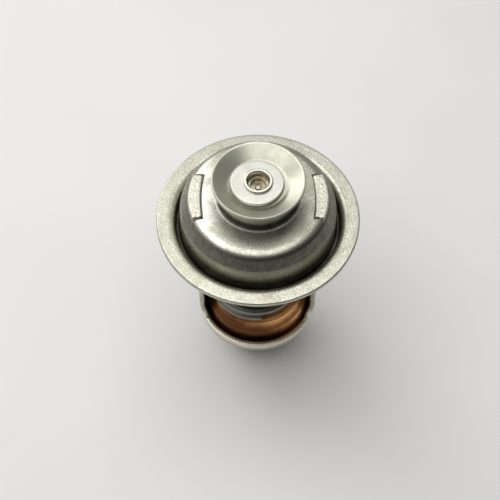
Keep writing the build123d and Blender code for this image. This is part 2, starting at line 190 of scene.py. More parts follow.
class ThermostatValve(PropertyGroup):
    """Sizes of the disc, its washer and the stem."""

    disc_sheet: length("Disc sheet", 0.8, "Thickness of the disc")
    disc_bore: length("Disc bore radius", 3.45, "Radius of the hole in the disc and in the washer")
    disc_flat: length("Disc flat radius", 7.5, "Radius of the disc's flat middle")
    disc_flat_top: length("Disc flat top", 15.5, "Height of the disc's flat middle")
    disc_flat_round: length("Disc flat round", 1.6, "Radius where the flat turns into the cone")
    disc_brim: length("Disc brim radius", 11.6, "Where the disc's cone turns into its brim")
    disc_brim_round: length("Disc brim round", 1.0, "Radius of that turn")
    disc_rim_round: length("Disc rim round", 0.28, "Radius on the upper edge of the disc's rim")
    washer_radius: length("Washer radius", 6.9, "Radius of the washer")
    washer_offset: length("Washer offset", 0.3, "How far the washer's rim lies off its hole")
    shank_radius: length("Shank radius", 3.6, "Radius of the stem's shank")
    foot_radius: length("Foot radius", 7.5, "Radius of the stem's foot")
    foot_height: length("Foot height", 1.4, "Thickness of the stem's foot")
    foot_fillet: length("Foot fillet", 2.0, "Radius where the shank leaves the foot")
    collar_radius: length("Collar radius", 5.2, "Radius of the collar under the disc")
    collar_height: length("Collar height", 1.6, "Height of that collar")
    collar_gap: length("Collar gap", 0.02, "Between the collar and the disc")
    tenon_gap: length("Tenon gap", 0.05, "Between the stem and the disc's hole")
    lip_radius: length("Lip radius", 3.8, "Radius of the stem's rolled end")
    lip_height: length("Lip height", 0.75, "Height of the rolled end above the washer")
    lip_round: length("Lip round", 0.34, "Radius outside the rolled end")
    mouth_radius: length("Mouth radius", 3.05, "Radius of the hole at its mouth")
    mouth_round: length("Mouth round", 0.5, "Radius where the mouth turns into the hole")
    bore_radius: length("Bore radius", 2.6, "Radius of the hole in the stem's end")
    bore_depth: length("Bore depth", 2.0, "Depth of that hole")
    pilot_radius: length("Pilot radius", 2.05, "Radius of the smaller hole below it")
    pilot_depth: length("Pilot depth", 1.3, "Depth of the smaller hole")
    nub_radius: length("Nub radius", 0.8, "Radius of the nub at the bottom")
    nub_height: length("Nub height", 0.4, "Height of the nub")


class ThermostatElement(PropertyGroup):
    """Sizes of the copper can, its guide and the piston."""

    can_wall: length("Can wall", 0.9, "Thickness of the can's sheet")
    crown_radius: length("Crown radius", 13.3, "Radius of the can above its shoulder")
    crown_height: length("Crown height", 2.7, "Height of the can's crown")
    shoulder_height: length("Shoulder height", 0.8, "Height of the sloping shoulder")
    corner_round: length("Corner round", 1.2, "Radius of the can's convex corners")
    shoulder_round: length("Shoulder round", 0.5, "Radius where the crown meets the shoulder")
    crimp_round: length("Crimp round", 0.6, "Radius of the edge that is crimped in")
    crimp_height: length("Crimp height", 0.6, "Thickness of the crimp")
    crimp_width: length("Crimp width", 2.5, "How far the crimp reaches in")
    boss_radius: length("Boss radius", 6.0, "Radius of the guide's boss")
    boss_fillet: length("Boss fillet", 0.8, "Radius where the boss leaves the guide's flange")
    flange_foot: length("Guide flange foot", -44.05, "Height of the guide flange's underside")
    bore_radius: length("Guide bore radius", 2.05, "Radius of the guide's bore")
    funnel: length("Funnel", 3.5, "Depth of the funnel above the bore")
    lead: length("Lead", 0.6, "Rounding at the guide's foot")
    piston_round: length("Piston round", 0.4, "Radius on the piston's ends")


class ThermostatSpring(PropertyGroup):
    """Sizes of the return spring."""

    wire: length("Wire", 2.6, "Diameter of the spring's wire")
    mean_radius: length("Mean radius", 11.5, "From the coil's centre line to its axis")
    offset: length("Offset", 0.7, "How far the coils stand off the axis, towards -X")
    foot: length("Foot", -33.68, "Height of the lower ground face")
    head: length("Head", 8.88, "Height of the upper ground face")
    closed_pitch: length("Closed pitch", 2.75, "Rise of each end turn")
    grind: length("Grind", 0.9, "Depth ground off the wire at each tip")
    lift: length("Lift", 9.0, "How far the opening valve pushes the spring together")
    turns: number("Turns", 8.0, "All turns, the two closed ones too")
    closed_turns: number("Closed turns", 0.85, "Turns at each end that keep the closed pitch")
    easing_turns: number("Easing turns", 0.3, "Turns over which the pitch opens")
    tip_angle: angle("Tip angle", -69.0, "Where the lower end of the wire stands")
    tip_slant: angle("Tip slant", 13.0, "How far the cut at each end leans, about the axis")


class ThermostatFinish(PropertyGroup):
    """Colours of the finishes."""

    steel: colour("Pressed steel", (0.60, 0.595, 0.51), "Satin pressed stainless steel")
    # Steel stain and shade: a real darker film, also laid as painted shade on the cone and as a
    # painted dark reflection on the roof's right.
    steel_stain_and_shade: colour("Steel stain and shade", (0.40, 0.39, 0.30), "Darker film and painted shade on the pressed steel")
    # Painted highlight laid on the left of the dome's roof.
    roof_highlight_steel: colour("Roof highlight", (0.86, 0.85, 0.78), "Painted highlight on the dome's roof")
    # Painted highlight laid on the cup's rim.
    rim_highlight_steel: colour("Rim steel", (0.88, 0.82, 0.70), "Painted highlight on the cup's rim")
    disc_steel: colour("Disc steel", (0.52, 0.515, 0.43), "Steel of the valve's disc")
    washer_steel: colour("Washer steel", (0.62, 0.62, 0.56), "Steel of the washer")
    stem_steel: colour("Stem steel", (0.62, 0.60, 0.53), "Steel of the stem")
    # Painted shade, warm-tinted, laid inside the stem's hole.
    stem_bore_shade: colour("Stem bore", (0.33, 0.285, 0.18), "Painted warm shade inside the stem's hole")
    # The wire's colour is darkened as painted shade.
    shaded_wire_steel: colour("Wire", (0.23, 0.23, 0.20), "Drawn spring wire, darkened as painted shade")
    piston_steel: colour("Piston steel", (0.66, 0.66, 0.65), "Ground steel of the piston")
    copper: colour("Copper", (0.97, 0.52, 0.22), "Clean copper")
    # Copper film and shade: a real brown film in clouds, also laid as painted shade towards the
    # front left and down the can's wall.
    copper_film_and_shade: colour("Copper film and shade", (0.20, 0.065, 0.02), "Brown film and painted shade on the copper")
    brass: colour("Brass", (0.78, 0.62, 0.30), "Turned brass")
    # Painted shade: laid in the groove, at the neck's root, along a line at the roll's end, under
    # the disc and round the washer.
    painted_shade: colour("Painted shade", (0.035, 0.031, 0.024), "Painted shade in the groove, at the neck, under the disc and round the washer")
    floor: colour("Floor", (0.80, 0.795, 0.785), "The plain floor")
    sky: colour("Sky", (1.0, 0.99, 0.97), "The world's light")


class ThermostatStudio(PropertyGroup):
    """The camera and the lamps."""

    focal: number("Focal length", 86.4, "In millimetres on the sensor")
    sensor: number("Sensor", 36.0, "Width of the sensor in millimetres")
    elevation: angle("Elevation", 58.124, "Angle of the camera above the horizon")
    view_right: length("View right", 2.115, "How far right of the view's centre the flange lies")
    view_up: length("View up", 9.143, "How far above the view's centre the flange lies")
    view_depth: length("View depth", 317.796, "How far in front of the camera the flange lies")
    floor_size: length("Floor size", 3000.0, "Width of the floor")
    key_size: length("Key size", 620.0, "Width of the overhead lamp")
    key_power: number("Key power", 2.1, "Watts of the overhead lamp")
    back_size: length("Back size", 350.0, "Width of the lamp behind on the left")
    back_power: number("Back power", 0.9, "Watts of the lamp behind on the left")
    world_low: number("World front", 0.06, "Strength of the sky's dim front")
    world_high: number("World back", 0.62, "Strength of the sky's bright back")


# Shapes: profiles and surfaces as whole arrays

def rounded_path(corners, closed=False, steps=8):
    """Corners, each a point and its radius, joined by straight runs and turned into arcs. An arc
    starts radius times the tangent of half the turn before its corner, and sweeps the turn
    evenly."""
    corners = np.asarray(corners, float)
    points, radii = corners[:, :2], corners[:, 2]
    rounds = []
    count = len(points)
    for index, radius in enumerate(radii):
        corner = points[index]
        at_end = not closed and index in (0, count - 1)
        if at_end or radius <= 0.0:
            rounds.append(corner[None, :])
            continue
        before = corner - points[index - 1]
        after = points[(index + 1) % count] - corner
        before /= np.linalg.norm(before)
        after /= np.linalg.norm(after)
        turn = math.atan2(before[0] * after[1] - before[1] * after[0], before @ after)
        start = corner - before * radius * math.tan(abs(turn) / 2)
        centre = start + math.copysign(radius, turn) * np.array((-before[1], before[0]))
        sweep = np.linspace(0.0, turn, steps + 1)
        arm = start - centre
        x = arm[0] * np.cos(sweep) - arm[1] * np.sin(sweep)
        y = arm[0] * np.sin(sweep) + arm[1] * np.cos(sweep)
        rounds.append(centre + np.stack((x, y), axis=1))
    return np.concatenate(rounds)


def filled_in(path, spacing, closed=False):
    """The same path with even extra points, so that no run is longer than the spacing."""
    ends = np.vstack((path, path[:1])) if closed else path
    runs = np.linalg.norm(np.diff(ends, axis=0), axis=1)
    distance = np.concatenate(((0.0,), np.cumsum(runs)))
    counts = np.maximum(1, np.ceil(runs / spacing).astype(int))
    stations = [
        np.linspace(start, end, count, endpoint=False)
        for start, end, count in zip(distance[:-1], distance[1:], counts)
    ]
    if not closed:
        stations.append(distance[-1:])
    where = np.concatenate(stations)
    x, y = np.interp(where, distance, ends[:, 0]), np.interp(where, distance, ends[:, 1])
    return np.stack((x, y), axis=1)


def beside(path, distance):
    """The path moved to its left by the distance: each point goes along the mean of its runs'
    normals, stretched by one over the cosine of half the turn."""
    run = np.diff(path, axis=0)
    run /= np.linalg.norm(run, axis=1)[:, None]
    normal = np.stack((-run[:, 1], run[:, 0]), axis=1)
    first = np.vstack((normal[:1], normal))
    second = np.vstack((normal, normal[-1:]))
    mean = first + second
    mean /= np.linalg.norm(mean, axis=1)[:, None]
    stretch = 1.0 / np.sum(mean * first, axis=1)
    return path + mean * (distance * stretch)[:, None]


def with_rounds(path, rounds):
    """The path as corners, of which the indexes in rounds have that radius and the rest none."""
    radii = np.zeros(len(path))
    for index, radius in rounds.items():
        radii[index] = radius
    return np.column_stack((path, radii))


def sheet_profile(path, thickness, start_rounds, end_rounds):
    """Closed outline of a sheet: the path, the same path moved left by the thickness, and rounded
    ends."""
    outline = np.vstack((path, beside(path, thickness)[::-1]))
    last = len(path) - 1
    rounds = {0: start_rounds[0], -1: start_rounds[1], last: end_rounds[0], last + 1: end_rounds[1]}
    return rounded_path(with_rounds(outline, rounds), closed=True, steps=6)


def grid_faces(rows, columns, wrap_rows=False, wrap_columns=False):
    """Four-cornered faces between neighbours of a grid whose points are numbered row by row."""
    row = np.arange(rows if wrap_rows else rows - 1)
    column = np.arange(columns if wrap_columns else columns - 1)
    row, column = np.meshgrid(row, column, indexing="ij")
    next_row, next_column = (row + 1) % rows, (column + 1) % columns
    corners = (
        row * columns + column,
        row * columns + next_column,
        next_row * columns + next_column,
        next_row * columns + column,
    )
    return np.stack([c.ravel() for c in corners], axis=1)


def revolved(profile, segments, closed, shift=None):
    """Surface of revolution: a profile point (r, z) at angle a is (r cos a, r sin a, z), moved in X
    by its shift. The profile has the solid on its left, so the faces point outwards."""
    turn = np.linspace(0.0, 2 * math.pi, segments, endpoint=False)
    radius, height = profile[:, :1], profile[:, 1:]
    x = radius * np.cos(turn)
    if shift is not None:
        x = x + shift[:, None]
    y = radius * np.sin(turn)
    z = np.broadcast_to(height, x.shape)
    points = np.stack((x, y, z), axis=2).reshape(-1, 3)
    return points, grid_faces(len(profile), segments, wrap_rows=closed, wrap_columns=True)


def smooth(mesh):
    """Smooth shading, except at sharp edges."""
    mesh.shade_smooth()
    mesh.set_sharp_from_angle(angle=SHARP_ANGLE)


def put_mesh(name, points, faces, material, merged=True, loop_uv=None):
    """One object from points and faces. Points that meet are merged, which closes the seams and
    poles, and faces turn outwards. A UV for each face corner goes into the layer called along."""
    mesh = bpy.data.meshes.new(name)
    mesh.from_pydata(points.tolist(), [], faces)
    if loop_uv is not None:
        corner = np.empty(len(mesh.loops), dtype=np.int32)
        mesh.loops.foreach_get("vertex_index", corner)
        mesh.uv_layers.new(name="along").data.foreach_set("uv", loop_uv[corner].ravel())
    shell = bmesh.new()
    shell.from_mesh(mesh)
    if merged:
        bmesh.ops.remove_doubles(shell, verts=shell.verts, dist=0.0005 * MM)
        bmesh.ops.dissolve_degenerate(shell, edges=shell.edges, dist=0.0002 * MM)
    bmesh.ops.recalc_face_normals(shell, faces=shell.faces)
    shell.to_mesh(mesh)
    shell.free()
    smooth(mesh)
    mesh.materials.append(material)
    piece = bpy.data.objects.new(name, mesh)
    bpy.context.scene.collection.objects.link(piece)
    return piece


def put_turned(name, profile, segments, closed, material, shift=None):
    """One object from a profile turned about the main axis."""
    points, faces = revolved(profile, segments, closed, shift)
    return put_mesh(name, points, faces.tolist(), material)


def cut_away(piece, cutters):
    """The piece less its cutters, with the result kept in its mesh."""
    material = piece.data.materials[0]
    for cutter in cutters:
        modifier = piece.modifiers.new("cut", "BOOLEAN")
        modifier.operation = "DIFFERENCE"
        modifier.solver = "EXACT"
        modifier.object = cutter
    graph = bpy.context.evaluated_depsgraph_get()
    graph.update()
    cut_mesh = bpy.data.meshes.new_from_object(piece.evaluated_get(graph))
    piece.modifiers.clear()
    piece.data = cut_mesh
    cut_mesh.name = piece.name
    cut_mesh.materials.clear()
    cut_mesh.materials.append(material)
    for cutter in cutters:
        bpy.data.objects.remove(cutter)
    smooth(cut_mesh)


def dress(piece, body, slot, *nodes):
    """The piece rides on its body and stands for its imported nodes."""
    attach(piece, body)
    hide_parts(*nodes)


# Materials

def scaled(rgb, share):
    """A colour times a share, held at 1."""
    return tuple(min(1.0, share * c) for c in rgb)


class NodeTree:
    """A node tree, with short ways to add and join its nodes."""

    def __init__(self, tree):
        self.tree = tree

    def feed(self, socket, value):
        """A link when the value is a socket, and else the socket's own value."""
        if isinstance(value, bpy.types.NodeSocket):
            self.tree.links.new(value, socket)
        elif socket.type == "RGBA":
            socket.default_value = (*value, 1.0)
        else:
            socket.default_value = value

    def add(self, kind, inputs=None, **settings):
        """A new node with its settings and with what its inputs are fed, by name or by number."""
        node = self.tree.nodes.new(kind)
        for name, value in settings.items():
            setattr(node, name, value)
        for key, value in (inputs or {}).items():
            self.feed(node.inputs[key], value)
        return node

    def vector(self, operation, first, second=None, output="Vector"):
        """One step of vector arithmetic."""
        inputs = {0: first} if second is None else {0: first, 1: second}
        return self.add("ShaderNodeVectorMath", inputs, operation=operation).outputs[output]

    def between(self, value, low, high, to_low=0.0, to_high=1.0, kind="SMOOTHSTEP"):
        """The value's stretch from low to high, spread over to_low to to_high and held outside."""
        ends = {"From Min": low, "From Max": high, "To Min": to_low, "To Max": to_high}
        ends["Value"] = value
        return self.add("ShaderNodeMapRange", ends, interpolation_type=kind).outputs[0]


class Finish(NodeTree):
    """A material's node tree. Tone, rough and relief are the colour, roughness and normal as far as
    they are worked out."""

    def __init__(self, name, metallic, roughness):
        self.material = bpy.data.materials.new(name)
        self.material.use_nodes = True
        super().__init__(self.material.node_tree)
        self.shader = self.tree.nodes["Principled BSDF"]
        self.shader.inputs["Metallic"].default_value = metallic
        self.shader.inputs["Roughness"].default_value = roughness
        self.place = self.add("ShaderNodeTexCoord").outputs["Object"]
        self.tone = self.rough = self.relief = None

    def math(self, operation, first, *others):
        """Arithmetic on two or more values, from the first to the last."""
        for other in others:
            inputs = {0: first, 1: other}
            first = self.add("ShaderNodeMath", inputs, operation=operation).outputs[0]
        return first

    def plus(self, *values):
        """The sum of the values."""
        return self.math("ADD", *values)

    def times(self, *values):
        """The product of the values."""
        return self.math("MULTIPLY", *values)

    def most(self, *values):
        """The largest of the values."""
        return self.math("MAXIMUM", *values)

    def towards(self, direction):
        """How far the place lies in a direction."""
        return self.vector("DOT_PRODUCT", self.place, direction, output="Value")

    def joined(self, x, y, z=0.0):
        """A vector from three values."""
        return self.add("ShaderNodeCombineXYZ", {0: x, 1: y, 2: z}).outputs[0]

    def around(self):
        """The distance from the axis, the height, and the direction from the axis."""
        x, y, z = self.add("ShaderNodeSeparateXYZ", {0: self.place}).outputs
        flat = self.joined(x, y)
        return self.vector("LENGTH", flat, output="Value"), z, self.vector("NORMALIZE", flat)

    def noise(self, vector, scale, detail=3.0, roughness=0.55, distortion=0.0):
        """Cloudy noise from 0 to 1, with its scale in cycles for each metre."""
        inputs = {"Vector": vector, "Scale": scale, "Detail": detail, "Roughness": roughness}
        inputs["Distortion"] = distortion
        return self.add("ShaderNodeTexNoise", inputs).outputs[0]

    def over(self, value, low, high, to_low=0.0, to_high=1.0):
        """The stretch of a length between low and high in millimetres."""
        return self.between(value, low * MM, high * MM, to_low, to_high)

    def band(self, value, fade_in, fade_out):
        """1 between two fades and 0 outside, with each fade's start and end in millimetres."""
        return self.times(self.over(value, *fade_in), self.over(value, *fade_out))

    def blend(self, amount, first, second):
        """A mix of two colours."""
        colours = {"Factor": amount, 6: first, 7: second}
        return self.add("ShaderNodeMix", colours, data_type="RGBA").outputs[2]

    def lay(self, amount, rgb):
        """Lays a colour over the tone by the amount."""
        self.tone = self.blend(amount, self.tone, rgb)

    def emboss(self, height, depth, strength=1.0):
        """Adds a bump of that depth in millimetres to the relief."""
        inputs = {"Strength": strength, "Distance": depth * MM, "Height": height}
        if self.relief is not None:
            inputs["Normal"] = self.relief
        self.relief = self.add("ShaderNodeBump", inputs).outputs[0]

    def finish(self):
        """Links what was worked out to the shader, and gives the material."""
        found = {"Base Color": self.tone, "Roughness": self.rough, "Normal": self.relief}
        for name, value in found.items():
            if value is not None:
                self.feed(self.shader.inputs[name], value)
        return self.material


def pressed_steel(name, f):
    """Satin stainless sheet: a coarse grain that speckles it, a faint cloudy film, and hair
    scratches that run every way. Gives the finish with its clouds and patches, for what is laid
    over it."""
    made = Finish(name, metallic=1.0, roughness=0.42)
    grain = made.noise(made.place, 5200.0, detail=2.0, roughness=0.7)
    pebble = made.noise(made.place, 2300.0, detail=4.0, roughness=0.8)
    cloud = made.noise(made.place, 160.0, detail=4.0, roughness=0.6, distortion=0.4)
    patch = made.noise(made.place, 620.0, detail=3.0, roughness=0.65)
    lengthwise = made.vector("MULTIPLY", made.place, (1.0, 0.045, 1.0))
    crosswise = made.vector("MULTIPLY", made.place, (0.05, 1.0, 0.6))
    scratches = made.most(
        made.between(made.noise(lengthwise, 6000.0, detail=1.0), 0.68, 0.76),
        made.between(made.noise(crosswise, 5200.0, detail=1.0), 0.69, 0.77),
    )
    film = made.plus(
        made.between(cloud, 0.35, 0.72, 0.0, 0.5), made.between(patch, 0.5, 0.8, 0.0, 0.3)
    )
    made.tone = made.blend(film, f.steel, f.steel_stain_and_shade)
    made.lay(made.between(pebble, 0.42, 0.60, 0.0, 0.55, "LINEAR"), scaled(f.steel_stain_and_shade, 0.5))
    made.rough = made.plus(
        made.between(pebble, 0.3, 0.7, -0.06, 0.08), made.between(cloud, 0.3, 0.7, 0.27, 0.36)
    )
    made.rough = made.math("SUBTRACT", made.rough, made.times(scratches, 0.12))
    made.emboss(pebble, 0.055, 0.9)
    made.emboss(grain, 0.012, 0.8)
    made.emboss(made.math("SUBTRACT", 0.0, scratches), 0.004, 0.7)
    return made, cloud, patch


def housing_finish(f):
    """Pressed steel with radial draw marks on the roll, and painted light and shade: a faint
    painted shade line where the roll ends, a band on the cone darkened as painted shade for its
    dark reflection, a painted dark reflection on the roof's right and a painted highlight on its
    left, and painted shade in the groove and at the neck's root."""
    made, cloud, patch = pressed_steel("housing_steel_pressed", f)
    radius, height, direction = made.around()
    streak = made.noise(direction, 95.0, detail=4.0, roughness=0.7)
    on_roll = made.band(radius, (20.0, 21.6), (24.4, 23.2))
    marks = made.times(made.math("SUBTRACT", streak, 0.5), on_roll)
    made.lay(made.between(marks, 0.02, 0.16, 0.0, 0.35), scaled(f.steel_stain_and_shade, 0.45))
    made.emboss(marks, 0.07)

    # Painted shade: the cone's band is darkened, in clouds, for the dark reflection it shows.
    cone = made.times(made.over(height, 4.6, 6.4), made.over(radius, 17.2, 18.9))
    dull = made.times(cone, made.between(patch, 0.25, 0.75, 0.85, 0.6))
    made.lay(dull, scaled(f.steel_stain_and_shade, 0.22))

    # Painted light on the roof: a painted dark reflection towards the right and a painted highlight
    # towards the left.
    roof = made.times(made.over(height, 9.0, 9.7), made.over(radius, 18.6, 16.8))
    to_right = made.towards((0.99, 0.14, 0.0))
    to_right = made.plus(to_right, made.between(cloud, 0.3, 0.7, -3.0 * MM, 3.0 * MM))
    roof_dark_reflection = made.times(roof, made.over(to_right, 3.0, 13.0, 0.0, 0.5))
    roof_highlight = made.times(roof, made.over(to_right, -8.5, -14.0, 0.0, 0.7))
    made.lay(roof_dark_reflection, scaled(f.steel_stain_and_shade, 0.4))
    made.lay(roof_highlight, f.roof_highlight_steel)

    # Painted shade: a thin line where the roll ends, the neck's root and the groove, darkened in
    # clouds.
    line = made.band(radius, (23.70, 23.82), (23.98, 23.86))
    line = made.times(line, made.between(patch, 0.35, 0.6, 0.1, 0.5))
    neck = made.times(made.over(radius, 11.5, 10.5), made.over(height, 13.2, 11.6, 0.25, 0.92))
    groove = made.band(height, (-3.0, -2.7), (0.2, -1.9))
    groove = made.times(groove, made.band(radius, (20.3, 20.7), (22.3, 22.1)))
    dark = made.times(made.most(neck, groove, line), made.between(cloud, 0.2, 0.6, 0.72, 0.92))
    made.lay(dark, f.painted_shade)
    made.rough = made.plus(made.rough, made.times(dark, 0.15))
    return made.finish()


def cage_finish(f):
    """Pressed steel with hammered tabs and a painted highlight on the cup's rim and the legs'
    roots.
    """
    made, _, _ = pressed_steel("cage_steel_pressed", f)
    _, height, _ = made.around()
    on_tab = made.over(height, 9.25, 9.65)
    dents = made.noise(made.place, 1300.0, detail=3.0, roughness=0.7)
    made.lay(made.times(on_tab, 0.35), scaled(f.steel, 1.25))
    made.emboss(made.times(dents, on_tab), 0.22)
    # Painted highlight: the band round the cup's rim and the legs' roots is laid bright and warm.
    rim = made.band(height, (-43.5, -41.2), (-37.0, -39.8))
    made.lay(made.times(rim, 0.92), f.rim_highlight_steel)
    return made.finish()


def turned_steel(name, steel, groove_scale, groove_depth, roughness):
    """Turned or spun metal: fine rings about the axis, broken up by a little grain and a faint
    film. Gives the finish, for what is laid over it."""
    made = Finish(name, metallic=1.0, roughness=roughness)
    radius, height, direction = made.around()
    waver = made.times(made.noise(direction, 1.3), 0.6 * MM)
    rings = made.noise(made.joined(radius, height, waver), groove_scale, detail=3.0, roughness=0.75)
    grain = made.noise(made.place, 3600.0, detail=3.0, roughness=0.75)
    cloud = made.noise(made.place, 240.0, detail=4.0, roughness=0.6)
    made.tone = made.blend(made.between(cloud, 0.3, 0.75, 0.0, 0.45), steel, scaled(steel, 0.72))
    made.lay(made.between(grain, 0.42, 0.65, 0.0, 0.25), scaled(steel, 0.5))
    made.rough = made.plus(
        made.between(cloud, 0.3, 0.7, roughness - 0.04, roughness + 0.05),
        made.between(grain, 0.3, 0.7, -0.04, 0.05),
    )
    made.emboss(rings, groove_depth)
    made.emboss(grain, 0.012, 0.8)
    return made


def disc_finish(f, v):
    """Spun steel with painted shade: its faces that look down are dark, and so is a thin painted
    contact shadow round the washer.
    """
    made = turned_steel("disc_steel_spun", f.disc_steel, 3600.0, 0.01, 0.35)
    # Painted shade on the faces that look down, and a painted contact shadow round the washer.
    normal = made.add("ShaderNodeTexCoord").outputs["Normal"]
    upward = made.add("ShaderNodeSeparateXYZ", {0: normal}).outputs[2]
    under = made.between(upward, -0.05, -0.30, 0.0, 0.9)
    from_washer = made.vector("SUBTRACT", made.place, (-v.washer_offset, 0.0, 0.0))
    from_washer = made.vector("MULTIPLY", from_washer, (1.0, 1.0, 0.0))
    distance = made.vector("LENGTH", from_washer, output="Value")
    near = made.between(
        distance, v.washer_radius + 0.22 * MM, v.washer_radius + 0.06 * MM, 0.0, 0.75
    )
    made.lay(made.most(under, near), f.painted_shade)
    return made.finish()


def stem_finish(f):
    """Turned stem with painted shade, warm-tinted, in its hole: the shade grows below the lip's
    crest and inside the bore's radius."""
    made = Finish("stem_steel_turned", metallic=1.0, roughness=0.26)
    radius, height, _ = made.around()
    rings = made.noise(made.joined(radius, height), 5200.0, detail=3.0, roughness=0.75)
    cloud = made.noise(made.place, 900.0, detail=3.0)
    crest = STEM_HIGH.z / MM
    # Painted shade, warm-tinted, inside the hole.
    inside = made.times(made.over(radius, 3.25, 2.7), made.over(height, crest - 0.5, crest - 1.2))
    bore_shade = made.times(inside, made.between(cloud, 0.25, 0.75, 0.55, 1.0))
    made.tone = made.blend(bore_shade, f.stem_steel, f.stem_bore_shade)
    made.rough = made.between(cloud, 0.3, 0.7, 0.22, 0.33)
    made.emboss(rings, 0.012, 0.8)
    return made.finish()


def wire_finish(f):
    """Drawn wire: fine lines along the wire, from its own U and V, and small dull patches."""
    made = Finish("spring_wire_drawn", metallic=1.0, roughness=0.28)
    strand = made.add("ShaderNodeUVMap", uv_map="along").outputs[0]
    strand = made.vector("MULTIPLY", strand, (2.0, 90.0, 1.0))
    lines = made.noise(strand, 1.0, detail=3.0, roughness=0.7)
    patch = made.noise(made.place, 700.0, detail=4.0, roughness=0.65)
    dull = made.between(patch, 0.42, 0.75, 0.0, 0.5)
    # The wire's colour is darkened as painted shade, with real dull patches.
    made.tone = made.blend(dull, f.shaded_wire_steel, scaled(f.shaded_wire_steel, 0.6))
    made.rough = made.plus(
        made.between(patch, 0.35, 0.7, 0.30, 0.42), made.between(lines, 0.3, 0.7, -0.03, 0.05)
    )
    made.emboss(lines, 0.0015, 0.6)
    return made.finish()


def copper_finish(f):
    """Drawn copper with fine up-and-down draw lines and a brown film that lies in clouds. Over it
    lies painted shade, which grows towards the front left and down the can's wall, where it is
    darkest."""
    made = Finish("copper_drawn", metallic=1.0, roughness=0.3)
    _, height, direction = made.around()
    lines = made.noise(direction, 70.0, detail=4.0, roughness=0.7)
    cloud = made.noise(made.place, 210.0, detail=5.0, roughness=0.62, distortion=0.6)
    grain = made.noise(made.place, 4200.0, detail=2.0)
    # Painted shade grows towards the front left and down the can's wall, with some drift in clouds.
    to_front_left = made.towards((-0.62, -0.78, 0.0))
    drift = made.times(made.math("SUBTRACT", cloud, 0.5), 9.0 * MM)
    low = made.times(made.over(height, -35.6, -38.0), 5.0 * MM)
    shaded = made.plus(to_front_left, drift, low)
    clouded = made.plus(
        made.between(cloud, 0.42, 0.75, 0.0, 0.5), made.between(lines, 0.5, 0.8, 0.0, 0.12)
    )
    # The real film in clouds, with the painted shade over it.
    film = made.most(clouded, made.over(shaded, 3.5, 13.0, 0.0, 0.82))
    made.tone = made.blend(film, f.copper, f.copper_film_and_shade)
    # Deeper painted shade where the shade is greatest.
    made.lay(made.over(shaded, 9.5, 16.0, 0.0, 0.6), scaled(f.copper_film_and_shade, 0.35))
    made.rough = made.plus(
        made.between(cloud, 0.3, 0.7, 0.40, 0.54), made.between(grain, 0.3, 0.7, -0.03, 0.05)
    )
    made.emboss(lines, 0.02, 0.5)
    made.emboss(grain, 0.005, 0.7)
    return made.finish()


def moulded_finish(name, base, lift, roughness, grain_scale):
    """Rubber, plastic or wax: a matt surface with a fine even grain and slow changes of tone."""
    made = Finish(name, metallic=0.0, roughness=roughness)
    grain = made.noise(made.place, grain_scale, detail=3.0, roughness=0.6)
    cloud = made.noise(made.place, 350.0, detail=3.0)
    made.tone = made.blend(made.between(cloud, 0.3, 0.7), base, lift)
    made.rough = made.between(grain, 0.3, 0.7, roughness - 0.08, roughness + 0.06)
    made.emboss(grain, 0.01, 0.6)
    return made.finish()


def floor_finish(f):
    """The plain pale floor, with a barely seen softness of tone."""
    made = Finish("floor_paint", metallic=0.0, roughness=0.75)
    made.shader.inputs["Specular IOR Level"].default_value = 0.25
    cloud = made.noise(made.place, 14.0, detail=2.0)
    made.tone = made.blend(made.between(cloud, 0.3, 0.7), f.floor, scaled(f.floor, 0.97))
    return made.finish()


# Pieces

def slot_block(c, low, high, inner, outer, half_width, side):
    """A block for cutting: an arc band about the tabs' fold axis, from the inner to the outer
    radius and as wide as the half width each way, between two heights, mirrored for the other
    side."""
    fold_x = c.cup_bore - c.leg_lean - c.leg_curve
    half = math.asin(half_width / c.leg_curve)
    turn = np.linspace(-half, half, 25)
    radius = np.array((inner, outer, outer, inner))[:, None]
    x = side * (fold_x + radius * np.cos(turn))
    y = radius * np.sin(turn)
    z = np.broadcast_to(np.array((low, low, high, high))[:, None], x.shape)
    points = np.stack((x, y, z), axis=2).reshape(-1, 3)
    count = len(turn)
    start = np.arange(4) * count
    ends = np.stack((start, start + count - 1))
    faces = np.vstack((grid_faces(4, count, wrap_rows=True), ends))
    return put_mesh("slot_cutter", points, faces.tolist(), None)


